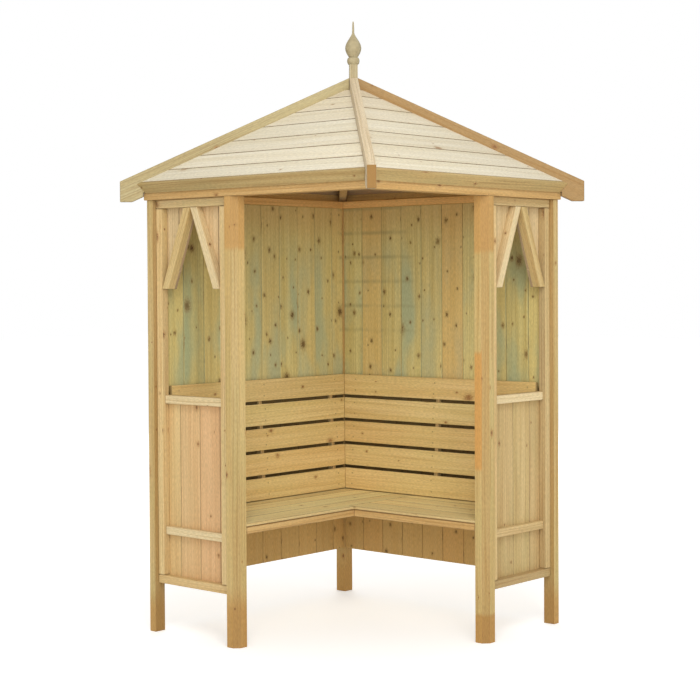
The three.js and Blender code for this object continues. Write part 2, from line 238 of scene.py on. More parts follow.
def addStainsAndShade(graph, look, colour, warm, spot):
    # treatment stains, warmth, and the zones and patches that have a place on the piece; on the wall boards
    # the zones are partly painted shade
    drift = graph.maths("SUBTRACT", spot["cloud"], 0.5)
    if "stain" in look:
        share = graph.times(graph.span(spot["cloud"], *stainLook["clouds"]), look["stained"])
        if "stainLevels" in look:
            low, high = look["stainLevels"]
            rise = graph.span(spot["level"], *(low + step for step in stainLook["rise"]))
            fall = graph.span(spot["level"], *(high + step for step in stainLook["fall"]))
            sides = graph.maths("MAXIMUM", spot["inside"], stainLook["outside"])
            share = graph.times(share, rise, fall, sides)
        colour = graph.mix(share, colour, linear(look["stain"]))
    colour = graph.mix(warm, colour, linear(look["warm"]))
    for limits, tint, strength in look.get("zones", ()):
        share = graph.span(graph.plus(spot["level"], graph.times(drift, stainLook["zoneRipple"])), *limits)
        colour = graph.mix(graph.times(share, spot["inside"], strength), colour, linear(tint))
    for centre, half, tint, strength in look.get("patches", ()):
        offset = graph.vectorMaths("SUBTRACT", spot["place"], centre)
        offset = graph.vectorMaths("ABSOLUTE", graph.vectorMaths("DIVIDE", offset, half))
        x, y, z = graph.parts(offset)
        away = graph.maths("MAXIMUM", graph.maths("MAXIMUM", x, y), z)
        away = graph.plus(away, graph.times(drift, stainLook["patchRipple"]))
        share = graph.times(graph.span(away, *stainLook["patchEdge"]), strength)
        colour = graph.mix(share, colour, linear(tint))
    # the wall boards' colours are painted lighter for their shaded inner faces; this turns the outer faces
    # back to the wood's own colour
    if "outside" in look:
        share = graph.maths("SUBTRACT", 1.0, spot["inside"])
        colour = graph.mix(share, colour, (*look["outside"], 1), "MULTIPLY")
    return colour


def addPlaces(graph, look, colour, spot):
    # what the photo shows in one place of the walls and the back rest only
    if "far" in look:
        # painted shade: darker and browner towards the side panels, and more so higher up
        reach = graph.maths("MAXIMUM", spot["x"], graph.times(spot["y"], -1.0))
        share = graph.times(graph.span(reach, *placeLook["far"]), spot["inside"])
        share = graph.times(share, graph.span(spot["level"], *placeLook["farLevel"]))
        colour = graph.mix(share, colour, (*look["far"], 1), "MULTIPLY")
    if "bands" in look:
        # pale grey marks in level rows beside the back corner, on the wall along X
        first, spacing = look["bands"]
        row = graph.maths("SUBTRACT", spot["level"], first - spacing / 2)
        row = graph.maths("FRACT", graph.maths("DIVIDE", row, spacing))
        away = graph.maths("ABSOLUTE", graph.maths("SUBTRACT", row, 0.5))
        share = graph.times(graph.span(away, placeLook["bandWidth"], 0.0), spot["inside"])
        for limit, key in (("x", "bandX"), ("y", "bandY"), ("level", "bandFoot"), ("cloud", "bandShare")):
            share = graph.times(share, graph.span(spot[limit], *placeLook[key]))
        colour = graph.mix(share, colour, linear(placeLook["bandTint"]))
    if "behind" in look:
        # painted shade on the wall, dark where the gaps of the back rest show it
        foot = graph.span(spot["level"], *placeLook["behindFoot"])
        top = graph.span(spot["level"], *placeLook["behindTop"])
        share = graph.times(foot, top, spot["inside"], placeLook["behindShare"])
        colour = graph.mix(share, colour, linear(look["behind"]))
    return colour


def makeTimber(name, look):
    # long grain, growth lines, knots, stains and dirt in the joints, all read from the "grain" map
    material, graph, shader = startMaterial(name)
    along, across, _ = graph.parts(graph.add("ShaderNodeUVMap", uv_map="grain").outputs[0])
    tone, warm, dirt, inside = (graph.attribute(layer) for layer in faceLayers)
    place = graph.add("ShaderNodeTexCoord").outputs["Object"]
    x, y, level = graph.parts(place)

    # knots in two sizes, and what each does to the grain round it
    sizes = zip(look["knots"], knotLook["sizes"])
    knots = [graph.knotLayer(along, across, share, **size) for share, size in sizes]
    core, halo, rim = (graph.maths("MAXIMUM", large, small) for large, small in zip(*knots))

    # grain fields, pushed aside by the knots
    sway = graph.field(along, across, **timberLook["sway"])
    bent = graph.plus(across, graph.times(sway, timberLook["swayWidth"]))
    bent = graph.plus(bent, graph.times(halo, timberLook["knotPush"]))
    streak = graph.field(along, bent, **timberLook["streak"])
    growth = graph.field(along, bent, **timberLook["growth"])
    fibre = graph.field(along, bent, **timberLook["fibre"])
    speckle = graph.field(along, across, **timberLook["speckle"])
    cloud = graph.field(along, across, **timberLook["cloud"])
    spot = {"place": place, "x": x, "y": y, "level": level, "inside": inside, "cloud": cloud}

    dark = linear(look["dark"])
    colour = graph.mix(graph.span(streak, *timberLook["streaks"]), linear(look["pale"]), linear(look["mid"]))
    colour = graph.mix(graph.times(graph.span(growth, *timberLook["lines"]), look["lines"]), colour, dark)
    share = graph.times(graph.span(fibre, *timberLook["fibres"]), timberLook["fibreShare"])
    colour = graph.mix(share, colour, dark)
    colour = addStainsAndShade(graph, look, colour, warm, spot)
    colour = graph.mix(graph.times(halo, timberLook["haloShare"]), colour, dark)
    colour = graph.mix(graph.times(rim, timberLook["rimShare"]), colour, linear(look["rim"]))
    colour = graph.mix(graph.times(core, timberLook["coreShare"]), colour, linear(look["knot"]))
    light = graph.plus(1.0, graph.times(tone, look["spread"]))
    light = graph.times(light, graph.span(speckle, *timberLook["speckles"]))
    colour = graph.mix(1.0, colour, graph.vector(light, light, light), "MULTIPLY")
    colour = graph.mix(graph.times(dirt, look["dirty"]), colour, linear(look["joint"]))
    colour = addPlaces(graph, look, colour, spot)

    height = graph.times(growth, timberLook["growthHeight"])
    height = graph.plus(height, graph.times(fibre, timberLook["fibreHeight"]))
    height = graph.plus(height, graph.times(core, timberLook["knotHeight"]))
    graph.feed(shader, {
        "Base Color": colour,
        "Roughness": graph.span(streak, *timberLook["rough"]),
        "Normal": graph.add("ShaderNodeBump", {"Height": height, **timberLook["bump"]}).outputs[0],
        "Specular IOR Level": timberLook["specular"],
    })
    return material


endLook = {
    "pith": (0.031, 0.044, 0),  # from the middle of the section
    "wanderScale": 60.0,
    "wanderWidth": 0.006,
    "ringScale": 1900,
    "rings": (-0.4, 1, 0, 0.6),
    "toneShare": 0.06,
    "bump": {"Distance": 0.0004, "Strength": 0.4},
    "rough": 0.85,
    "specular": 0.25,
}


def makeEndGrain(name, look):
    # sawn ends: growth rings round a pith that lies off the section
    material, graph, shader = startMaterial(name)
    grain = graph.add("ShaderNodeUVMap", uv_map="grain").outputs[0]
    reach = graph.length(graph.vectorMaths("ADD", grain, endLook["pith"]))
    wander = graph.times(graph.noise(grain, scale=endLook["wanderScale"]), endLook["wanderWidth"])
    rings = graph.maths("SINE", graph.times(graph.plus(reach, wander), endLook["ringScale"]))
    early, late = look.get("endColours", (look["mid"], look["dark"]))
    colour = graph.mix(graph.span(rings, *endLook["rings"]), linear(early), linear(late))
    light = graph.plus(look["ends"], graph.times(graph.attribute("tone"), endLook["toneShare"]))
    graph.feed(shader, {
        "Base Color": graph.mix(1.0, colour, graph.vector(light, light, light), "MULTIPLY"),
        "Normal": graph.add("ShaderNodeBump", {"Height": rings, **endLook["bump"]}).outputs[0],
        "Roughness": endLook["rough"],
        "Specular IOR Level": endLook["specular"],
    })
    return material


# knots: share of the cells with a large and a small one; zones: (levels, tint, strength);
# patches: (centre, half size, tint, strength); stainLevels: the lowest and the highest;
# bands: the first one's level and their spacing; far and outside multiply the colour
commonLook = {
    "knot": (96, 62, 34), "rim": (158, 108, 62), "joint": (88, 64, 34),
    "lines": 0.5, "dirty": 0.5, "spread": 0.10, "ends": 0.78,
}
entryPost = {
    "pale": (196, 173, 119), "mid": (183, 155, 98), "dark": (150, 112, 59), "warm": (175, 130, 68),
    "knots": (0.2, 0.3), "stain": (171, 161, 104), "stained": 0.3,
}
looks = {
    "post": {
        "pale": (201, 177, 125), "mid": (186, 157, 101), "dark": (152, 113, 59), "warm": (177, 133, 70),
        "knots": (0.1, 0.25), "stain": (172, 163, 105), "stained": 0.35,
        "zones": (((0.20, 0.08), (174, 131, 70), 0.75),),
    },
    "leftEntryPost": {
        **entryPost,
        "zones": (((0.25, 0.13), (168, 124, 64), 0.75), ((1.545, 1.57), (179, 135, 75), 0.75)),
    },
    "rightEntryPost": {
        **entryPost,
        "zones": (((0.125, 0.105), (168, 124, 64), 0.8), ((1.535, 1.56), (179, 135, 75), 0.75)),
        "patches": (((0.557, 0.05, 0.92), (0.031, 0.1, 0.235), (190, 136, 68), 0.75),),
    },
    "framing": {
        "pale": (216, 191, 140), "mid": (201, 171, 117), "dark": (167, 128, 74), "warm": (192, 147, 86),
        "knots": (0.12, 0.25), "stain": (190, 175, 119), "stained": 0.25,
    },
    "paleFraming": {
        "pale": (219, 200, 157), "mid": (205, 182, 136), "dark": (176, 145, 97), "warm": (199, 158, 104),
        "knots": (0.08, 0.2),
    },
    "plate": {
        "pale": (209, 176, 118), "mid": (194, 155, 95), "dark": (152, 110, 57), "warm": (184, 133, 71),
        "knots": (0.18, 0.3),
    },
    "sideBoards": {
        "pale": (219, 193, 137), "mid": (205, 175, 117), "dark": (175, 136, 80), "warm": (205, 152, 115),
        "knots": (0.1, 0.25), "stain": (184, 171, 115), "stained": 0.3, "spread": 0.07,
    },
    "headBoards": {
        "pale": (222, 200, 154), "mid": (210, 184, 136), "dark": (178, 144, 94), "warm": (206, 160, 116),
        "knots": (0.08, 0.2), "spread": 0.06,
    },
    "wallBoards": {
        # painted light: the wall boards' colours are lighter than the wood, against the shade inside the
        # arbour; outside brings their outer faces back to the wood's own colour
        "pale": (225, 214, 149), "mid": (208, 192, 124), "dark": (165, 136, 79), "warm": (225, 177, 104),
        "knots": (0.62, 0.85), "knot": (96, 70, 38), "rim": (134, 101, 57),
        "stain": (172, 188, 154), "stained": 0.8, "stainLevels": (0.95, 1.60),
        "lines": 0.3, "dirty": 0.3, "spread": 0.06,
        # browner under the seat and at the top of the wall: partly the wood's own colour, partly painted
        # shade
        "zones": (((0.52, 0.44), (197, 152, 90), 0.75), ((1.58, 1.76), (204, 165, 106), 0.5)),
        # far is painted shade towards the side panels
        "far": (0.81, 0.76, 0.66), "outside": (1.0, 0.87, 0.93),
        # painted shade on the wall where the back rest's gaps show it
        "behind": (92, 68, 34),
        "bands": (1.211, 0.11),
    },
    "slat": {
        "pale": (230, 207, 147), "mid": (215, 187, 123), "dark": (176, 138, 78), "warm": (215, 166, 102),
        "knots": (0.18, 0.3), "knot": (136, 92, 52), "stain": (211, 198, 128), "stained": 0.3,
        # far is painted shade towards the side panels
        "lines": 0.3, "spread": 0.07, "ends": 0.5, "far": (0.87, 0.81, 0.72),
    },
    "seat": {
        "pale": (245, 235, 179), "mid": (232, 208, 146), "dark": (190, 157, 100), "warm": (242, 194, 119),
        "knots": (0.08, 0.2), "stain": (219, 210, 160), "stained": 0.5,
    },
    "roofBoards": {
        "pale": (234, 225, 202), "mid": (224, 212, 182), "dark": (196, 178, 140), "warm": (208, 178, 137),
        "knots": (0.08, 0.15), "knot": (168, 134, 96), "joint": (118, 92, 52),
        "lines": 0.25, "dirty": 0.9, "spread": 0.04,
    },
    "fascia": {
        "pale": (195, 170, 114), "mid": (180, 150, 95), "dark": (140, 109, 60), "warm": (183, 134, 77),
        "knots": (0.18, 0.3), "stain": (170, 152, 101), "stained": 0.5,
    },
    "hip": {
        "pale": (179, 165, 123), "mid": (165, 145, 100), "dark": (129, 100, 58), "warm": (154, 113, 63),
        "knots": (0.5, 0.3),
    },
    "entryHip": {
        "pale": (224, 207, 175), "mid": (208, 187, 151), "dark": (177, 148, 108), "warm": (195, 152, 98),
        "knots": (0.1, 0.2), "endColours": ((172, 132, 76), (136, 97, 53)),
    },
    "finial": {
        "pale": (178, 168, 135), "mid": (167, 153, 118), "dark": (140, 119, 80), "warm": (161, 126, 82),
        "knots": (0.0, 0.0),
    },
}
looks = {key: {**commonLook, **look} for key, look in looks.items()}
timber = {key: makeTimber(key + "Timber", look) for key, look in looks.items()}
endGrain = {key: makeEndGrain(key + "EndGrain", look) for key, look in looks.items()}
print("timber materials made")

# shared steps
shaping = {
    "merged": 0.00002,
    "flat": math.radians(0.5),
    "untouched": 0.00005,
    "rounded": math.radians(25),
    "smooth": math.radians(32),
    "seam": 0.00015,
}
mapping = {
    "start": 60,  # each piece's grain starts within so many metres
    "turns": (1.7, 3.1),  # and moves on by these from one side of the piece to the next
    "end": 0.6,  # a face turned this far to the axis is a sawn end
    "worn": 0.3,  # and one turned this far is its worn edge
    "wornDirt": 0.8,
    "groove": (0.3, 0.9),  # how far the faces in a joint lean from the way that the boards face
    "inside": 0.2,
    "warmth": (0, 0.15),  # of a board that has no warmth of its own
}


def activate(piece):
    bpy.ops.object.select_all(action="DESELECT")
    piece.select_set(True)
    bpy.context.view_layer.objects.active = piece


def copyPiece(source, name):
    piece = bpy.data.objects.new(name, source.data.copy())
    bpy.context.scene.collection.objects.link(piece)
    return piece


def copyNode(node, name):
    # a loose copy of a CAD solid, merged into clean flat faces
    piece = copyPiece(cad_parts[node], name)
    activate(piece)
    if piece.data.has_custom_normals:
        bpy.ops.mesh.customdata_custom_splitnormals_clear()
    while piece.data.uv_layers:
        piece.data.uv_layers.remove(piece.data.uv_layers[0])
    piece.data.materials.clear()
    bpy.ops.object.mode_set(mode="EDIT")
    bpy.ops.mesh.select_all(action="SELECT")
    bpy.ops.mesh.remove_doubles(threshold=shaping["merged"])
    bpy.ops.mesh.dissolve_limited(angle_limit=shaping["flat"])
    bpy.ops.object.mode_set(mode="OBJECT")
    return piece


def cutAway(piece, point, normal):
    # removes what lies on the normal's side of the plane and closes the cut
    normal = Vector(normal)
    reach = [(vertex.co - Vector(point)).dot(normal) for vertex in piece.data.vertices]
    if max(reach) < shaping["untouched"]:
        return
    activate(piece)
    bpy.ops.object.mode_set(mode="EDIT")
    bpy.ops.mesh.select_all(action="SELECT")
    bpy.ops.mesh.bisect(plane_co=point, plane_no=normal, use_fill=True, clear_outer=True)
    bpy.ops.object.mode_set(mode="OBJECT")


def roundEdges(piece, width, segments=2):
    activate(piece)
    bevel = piece.modifiers.new("edges", "BEVEL")
    bevel.width = width
    bevel.segments = segments
    bevel.limit_method = "ANGLE"
    bevel.angle_limit = shaping["rounded"]
    bpy.ops.object.modifier_apply(modifier="edges")


def layGrain(piece, axis, look, tone=None, warm=0.0, facing=None, sawn=True, shaded=None, shade=(0, 0),
             limit=0.6):
    # grain map in metres along and across the piece, with its own start so that no two are alike;
    # faces turned towards shaded get the tone and warmth of shade on top
    mesh = piece.data
    axis = Vector(axis).normalized()
    side = axis.orthogonal().normalized()
    other = axis.cross(side)
    middle = sum((vertex.co for vertex in mesh.vertices), Vector()) / len(mesh.vertices)
    shift = (random.uniform(0, mapping["start"]), random.uniform(0, mapping["start"]))
    tone = random.uniform(-1, 1) if tone is None else tone
    mesh.uv_layers.new(name="grain")
    for layer in faceLayers:
        mesh.attributes.new(layer, "FLOAT", "FACE")
    mesh.materials.append(timber[look])
    mesh.materials.append(endGrain[look])
    for face in mesh.polygons:
        face.material_index = 1 if sawn and abs(face.normal.dot(axis)) > mapping["end"] else 0
    grainMap = mesh.uv_layers["grain"]  # read back here, since adding a layer moves the others
    toneLayer, warmLayer, dirtLayer, insideLayer = (mesh.attributes[layer].data for layer in faceLayers)
    for face in mesh.polygons:
        isEnd = face.material_index == 1
        turned = shaded is not None and face.normal.dot(Vector(shaded)) > limit
        toneLayer[face.index].value = tone + (shade[0] if turned else 0)
        warmLayer[face.index].value = warm + (shade[1] if turned else 0)
        isInside = facing is None or face.normal.dot(Vector(facing)) > mapping["inside"]
        insideLayer[face.index].value = 1.0 if isInside else 0.0
        if facing is not None:
            low, high = mapping["groove"]
            inGroove = not isEnd and low < abs(face.normal.dot(Vector(facing))) < high
            dirtLayer[face.index].value = 1.0 if inGroove else 0.0
        elif sawn and mapping["worn"] < abs(face.normal.dot(axis)) < mapping["end"]:
            dirtLayer[face.index].value = mapping["wornDirt"]
        if isEnd:
            first, second, start = side, other, (-middle.dot(side), -middle.dot(other))
        else:
            across = face.normal.cross(axis)
            across = across.normalized() if across.length > 0.01 else side
            ways = (round(2 * face.normal.dot(side)), round(2 * face.normal.dot(other)))
            turn = mapping["turns"][0] * ways[0] + mapping["turns"][1] * ways[1]
            first, second, start = axis, across, (shift[0], turn + shift[1])
        for loop in face.loop_indices:
            point = mesh.vertices[mesh.loops[loop].vertex_index].co
            grainMap.data[loop].uv = (point.dot(first) + start[0], point.dot(second) + start[1])


def joinPieces(pieces, name):
    activate(pieces[0])
    for piece in pieces[1:]:
        piece.select_set(True)
    if len(pieces) > 1:
        bpy.ops.object.join()
    whole = bpy.context.view_layer.objects.active
    whole.name = name
    return whole


def finishPiece(piece, look, *nodes):
    activate(piece)
    bpy.ops.object.shade_smooth_by_angle(angle=shaping["smooth"])
    # keeps the flat faces flat beside the rounded edges
    weighted = piece.modifiers.new("flatFaces", "WEIGHTED_NORMAL")
    weighted.keep_sharp = True
    bpy.ops.object.modifier_apply(modifier="flatFaces")
    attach(piece, "root")
    if nodes:
        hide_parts(*nodes)


def camel(node):
    first, *rest = node.split("_")
    return first + "".join(word.capitalize() for word in rest)


def dressStick(node, look, edge, axis=None, **paint):
    # a single timber, its grain along the longest side unless an axis is given; paint goes to layGrain
    piece = copyNode(node, camel(node))
    roundEdges(piece, edge)
    low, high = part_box(node)
    size = high - low
    longest = max(range(3), key=lambda i: size[i])
    axis = axis or [1.0 if i == longest else 0.0 for i in range(3)]
    layGrain(piece, axis, look, **paint)
    finishPiece(piece, look, node)


def dressBoards(node, look, axis, stepAxis, joints, facing, tones=None, warms=None, edge=0.0006, **paint):
    # a CAD run of boards split at its joints, each board with its own grain
    pieces = []
    step = Vector(stepAxis).normalized()
    for index in range(len(joints) + 1):
        board = copyNode(node, f"{camel(node)}{index}")
        if index > 0:
            cutAway(board, step * (joints[index - 1] + shaping["seam"]), -step)
        if index < len(joints):
            cutAway(board, step * (joints[index] - shaping["seam"]), step)
        if not board.data.vertices:
            bpy.data.objects.remove(board)
            continue
        roundEdges(board, edge, 1)
        tone = tones[index % len(tones)] if tones else None
        warm = warms[index % len(warms)] if warms else random.uniform(*mapping["warmth"])
        layGrain(board, axis, look, tone, warm, facing, **paint)
        pieces.append(board)
    finishPiece(joinPieces(pieces, camel(node)), look, node)


# each half's directions: along its wall, from its wall into the arbour, and out through its side panel
wallWay = {"left": (0, 1, 0), "right": (1, 0, 0)}
inward = {"left": (1, 0, 0), "right": (0, -1, 0)}
outward = {"left": (0, -1, 0), "right": (1, 0, 0)}

# posts and framing, with painted shade: the sides turned to the entry are darker and browner
framing = {
    "postEdge": 0.0015,
    "postShade": (-3.0, 0.35),
    "entryEdge": 0.0012,
    "entryShade": {"left": (-2.4, 0.05), "right": (-2.4, 0.3)},
    "chamfer": (0.707, -0.707, 0),
    "railEdge": 0.004,
    "railShade": (-2.5, 0.15),
    "braceEdge": 0.002,
    "braceShade": (-1.2, 0.15),
    "braceRun": 0.1298,
    "braceRise": 0.3277,
    "battenEdge": 0.0025,
    "bearerEdge": 0.0045,
    "bearerShade": (-4.5, 0.4),
    "tones": {
        "left": {
            "end_post": 0.6, "bottom_rail": 0.4, "top_rail": -0.4, "outer_stile": 1.3, "inner_stile": 1.4,
            "lower_rail": 0.6, "sill": 0.7, "inner_brace": 0.4, "outer_brace": 1.2,
        },
        "right": {
            "end_post": 1.4, "bottom_rail": -2.0, "top_rail": -0.3, "outer_stile": -0.3, "inner_stile": 1.7,
            "lower_rail": 0.4, "sill": 1.2, "inner_brace": 1.0, "outer_brace": 1.2,
        },
    },
}
dressStick("back_corner_post", "post", framing["postEdge"], warm=0.5, tone=1.7)
for side, tones in framing["tones"].items():
    dressStick(f"{side}_end_post", "post", framing["postEdge"], warm=0.1, tone=tones["end_post"],
               shaded=inward[side], shade=framing["postShade"])
    # the chamfer at the entry corner is the brownest face of each entry post
    dressStick(f"{side}_entry_post", f"{side}EntryPost", framing["entryEdge"], warm=0.1, tone=1.2,
               shaded=framing["chamfer"], shade=framing["entryShade"][side], limit=0.9)
    for part in ("bottom_rail", "top_rail", "outer_stile", "inner_stile", "lower_rail", "sill"):
        look = "paleFraming" if part == "sill" or (side, part) == ("left", "lower_rail") else "framing"
        warm = 0.2 if part == "bottom_rail" else 0.0
        dressStick(f"{side}_side_{part}", look, framing["railEdge"], tone=tones[part], warm=warm,
                   shaded=inward[side], shade=framing["railShade"])
    for part, lean in (("inner_brace", -1), ("outer_brace", 1)):
        run = framing["braceRun"] * lean
        axis = (run, 0, framing["braceRise"]) if side == "left" else (0, -run, framing["braceRise"])
        look = "paleFraming" if part == "inner_brace" else "post"
        dressStick(f"{side}_side_{part}", look, framing["braceEdge"], axis, tone=tones[part],
                   shaded=inward[side], shade=framing["braceShade"])
    dressStick(f"{side}_rest_batten", "framing", framing["battenEdge"], tone=0.3)
    dressStick(f"{side}_seat_bearer", "plate", framing["bearerEdge"], warm=0.1, tone=0.0,
               shaded=(0, 0, 1), shade=framing["bearerShade"], limit=0.3)
print("posts and framing dressed")

# boarded walls, side panels and seat; distances run from the outer back corner
boards = {
    "cover": 0.115,
    "corner": 0.6,
    "wallFace": 0.0463,
    "wallJoint": {"left": 0.077, "right": 0.115},
    "sideJoint": 0.089,
    "end": 1.1477,
    "panelEnd": 0.4597,
    "seatBack": 0.0466,
    "seatFront": 0.516,
    "wallEdge": 0.001,
    "wallWarms": {
        "left": (0.2, 0.1, 0.15, 0.05, 0.15, 0.1, 0.2, 0.1, 0.0, 0.05),
        "right": (0.05, 0.4, 0.1, 0.05, 0.15, 0.5, 0.1, 0.05, 0.0, 0.05),
    },
    "sideWarms": {"left": (0.15, 0.35, 0.5, 0.4), "right": (0.1, 0.0, 0.05, 0.1)},
    "sideTones": {"left": (0.9, 0.7, 1.1, 0.9), "right": (-1.8, -1.3, -1.5, -1.2)},
    "headShade": (-8.0, 0.3),
    "seatEdge": 0.0015,
    "seatShade": (-2.5, 0.35),
}


def jointsFrom(first, end):
    # places of the joints along X or -Y, without one that would leave a sliver of board
    found = []
    while first < end - boards["cover"] / 4:
        found.append(first - boards["corner"])
        first += boards["cover"]
    return found


for side in ("left", "right"):
    joints = jointsFrom(boards["wallFace"] + boards["wallJoint"][side], boards["end"])
    dressBoards(f"{side}_wall_boards", "wallBoards", (0, 0, 1), outward[side], joints, inward[side],
                warms=boards["wallWarms"][side], edge=boards["wallEdge"])
joints = jointsFrom(boards["wallFace"] + boards["sideJoint"], boards["panelEnd"])
for side in ("left", "right"):
    warms = boards["sideWarms"][side]
    dressBoards(f"{side}_side_lower_boards", "sideBoards", (0, 0, 1), inward[side], joints, outward[side],
                boards["sideTones"][side], warms)
    dressBoards(f"{side}_side_head_boards", "headBoards", (0, 0, 1), inward[side], joints, outward[side],
                warms=[warm / 2 for warm in warms], shaded=(0, 0, -1), shade=boards["headShade"], limit=0.3)
joints = jointsFrom(boards["seatBack"] + boards["cover"], boards["seatFront"])
for side in ("left", "right"):
    dressBoards(f"{side}_seat_boards", "seat", wallWay[side], inward[side], joints, (0, 0, 1),
                edge=boards["seatEdge"], shaded=inward[side], shade=boards["seatShade"])
print("boards split and dressed")

# back rest
rest = {
    "slats": 5,
    "slatEdge": 0.003,
    "warmth": (0, 0.25),
    "tones": (-0.8, 0.8),
    "foot": 0.489,
    "face": 0.098,
    "lean": math.radians(3.2),
    "slat": 0.093,
    "gap": 0.0136,
    "batten": 0.597,  # the batten of the solids, along the wall
    "moreBattens": {"left": (1.095, 0.138), "right": (1.095,)},
    "screwLines": (0.138, 0.597, 1.095),
}
for side, along in wallWay.items():
    for index in range(rest["slats"]):
        dressStick(f"{side}_rest_slat_{index + 1}", "slat", rest["slatEdge"], along,
                   warm=random.uniform(*rest["warmth"]), tone=random.uniform(*rest["tones"]))
print("back rest dressed")

# roof, one quarter after another
roof = {
    "pitch": math.radians(32.5),
    "cover": 0.108,
    "eaves": (0, -0.640, 1.83196),
    "joints": 6,
    "boardEdge": 0.001,
    "boardWarms": (0.0, 0.02, 0.05, 0.0, 0.08, 0.15, 0.25),
    # painted shade: the roof boards' undersides are darker and warmer
    "soffit": (-4.0, 1.0),
    "edge": 0.002,
    # painted light: the back quarters' fascias and plates, seen from inside under the roof, are lighter and
    # warmer against their shade
    "fasciaWarms": (0.05, 0.05, 0.1, 0.1),
    "fasciaTones": (-1.0, 0.7, 5.5, 7.0),
    "plateWarms": (0.15, 0.15, 0.4, 0.4),
    "plateTones": (-0.7, 0.5, 4.8, 3.4),
}
hips = {
    "entry": {"angle": -45, "look": "entryHip", "warm": 0.0, "tone": 0.0},
    "right": {"angle": 45, "look": "hip", "warm": 0.7, "tone": 0.0},
    # painted light: the back hip, seen from inside under the roof, is made lighter against its shade
    "back": {"angle": 135, "look": "hip", "warm": 0.4, "tone": 6.0},
    "left": {"angle": 225, "look": "hip", "warm": 0.0, "tone": 0.0},
}
for quarter, name in enumerate(("left_side", "right_side", "right_back", "left_back")):
    turn = Matrix.Rotation(quarter * math.pi / 2, 4, "Z")
    upSlope = turn @ Vector((0, math.cos(roof["pitch"]), math.sin(roof["pitch"])))
    outOfRoof = turn @ Vector((0, -math.sin(roof["pitch"]), math.cos(roof["pitch"])))
    alongEaves = turn @ Vector((1, 0, 0))
    base = (turn @ Vector(roof["eaves"])).dot(upSlope)
    joints = [base + roof["cover"] * (index + 1) for index in range(roof["joints"])]
    dressBoards(f"{name}_roof_boards", "roofBoards", alongEaves, upSlope, joints, outOfRoof,
                warms=roof["boardWarms"], edge=roof["boardEdge"], shaded=-outOfRoof, shade=roof["soffit"])
    for part in ("fascia", "plate"):
        dressStick(f"{name}_{part}", part, roof["edge"], alongEaves,
                   warm=roof[f"{part}Warms"][quarter], tone=roof[f"{part}Tones"][quarter])
for name, hip in hips.items():
    angle = math.radians(hip["angle"])
    way = Vector((math.cos(angle), math.sin(angle), -math.tan(roof["pitch"]) / math.sqrt(2)))
    dressStick(f"{name}_hip", hip["look"], roof["edge"], way, warm=hip["warm"], tone=hip["tone"])
print("roof dressed")

# finial: a square shaft turned into a teardrop with a spike
finial = {
    "shaft": 0.034,
    "shaftFoot": 2.141,
    "shaftEdge": 0.0015,
    "facets": 64,
    "sunk": 0.003,
    "sunkRadius": 0.0165,
    "collar": 2.322,
    "collarRadius": 0.0255,
    "collarRings": 12,
    "neck": 2.352,
    "neckRadius": 0.019,
    "grooveRadius": 0.0172,
    "groove": 0.001,
    "widest": 2.389,
    "radius": 0.033,
    "bulbRings": 10,
    "shoulder": 2.453,
    "spikeRadius": 0.0045,
    "taperRings": 16,
    "taperPower": 0.75,
    "spike": ((0.004, 2.475), (0.0032, 2.492), (0.0022, 2.4975), (0.001, 2.499)),
}
# (radius, level) of each ring, from inside the shaft to the tip
rings = [(finial["sunkRadius"], finial["collar"] - finial["sunk"])]


def addRings(count, low, high, slim, wide, shape):
    for step in range(1, count + 1):
        share = step / count
        rings.append((slim + (wide - slim) * shape(share), low + share * (high - low)))


addRings(finial["collarRings"], finial["collar"], finial["neck"] - finial["groove"],
         finial["neckRadius"], finial["collarRadius"], lambda share: math.sin(math.pi * share) ** 0.5)
rings.append((finial["grooveRadius"], finial["neck"]))
addRings(finial["bulbRings"], finial["neck"] + finial["groove"], finial["widest"],
         finial["neckRadius"], finial["radius"], lambda share: math.sin(math.pi / 2 * share))
addRings(finial["taperRings"], finial["widest"], finial["shoulder"], finial["spikeRadius"], finial["radius"],
         lambda share: ((1 + math.cos(math.pi * share)) / 2) ** finial["taperPower"])
rings += finial["spike"]
bpy.ops.object.select_all(action="DESELECT")
bpy.ops.mesh.primitive_circle_add(vertices=finial["facets"], radius=rings[0][0], fill_type="NGON",
                                  location=(0, 0, rings[0][1]))
head = bpy.context.object
head.name = "finialHead"
bpy.ops.object.transform_apply()
bpy.ops.object.mode_set(mode="EDIT")
bpy.ops.mesh.select_all(action="SELECT")
for (radius, level), (nextRadius, nextLevel) in zip(rings, rings[1:]):
    bpy.ops.mesh.extrude_region_move(TRANSFORM_OT_translate={"value": (0, 0, nextLevel - level)})
    bpy.ops.transform.resize(value=(nextRadius / radius, nextRadius / radius, 1))
bpy.ops.mesh.select_all(action="SELECT")
bpy.ops.mesh.normals_make_consistent(inside=False)
bpy.ops.object.mode_set(mode="OBJECT")
bpy.ops.object.select_all(action="DESELECT")
middle = (finial["collar"] + finial["shaftFoot"]) / 2
height = finial["collar"] - finial["shaftFoot"]
bpy.ops.mesh.primitive_cube_add(size=1, location=(0, 0, middle), rotation=(0, 0, math.pi / 4),
                                scale=(finial["shaft"], finial["shaft"], height))
shaft = bpy.context.object
bpy.ops.object.transform_apply()
roundEdges(shaft, finial["shaftEdge"])
layGrain(shaft, (0, 0, 1), "finial", tone=0.4, warm=0.1, sawn=False)
layGrain(head, (0, 0, 1), "finial", tone=0.0, warm=0.05, sawn=False)
finishPiece(joinPieces([head, shaft], "finialTurned"), "finial", "finial")
print("finial turned")


# timbers and fixings that the solids leave out, placed by their distance off the wall's outer face,
# their distance along the wall and their level
def onLeft(reach, along, level):
    return Vector((reach - boards["corner"], boards["corner"] - along, level))


def onRight(reach, along, level):
    return Vector((along - boards["corner"], boards["corner"] - reach, level))


halves = {"left": onLeft, "right": onRight}
rails = {"edge": 0.002, "warm": 0.1}


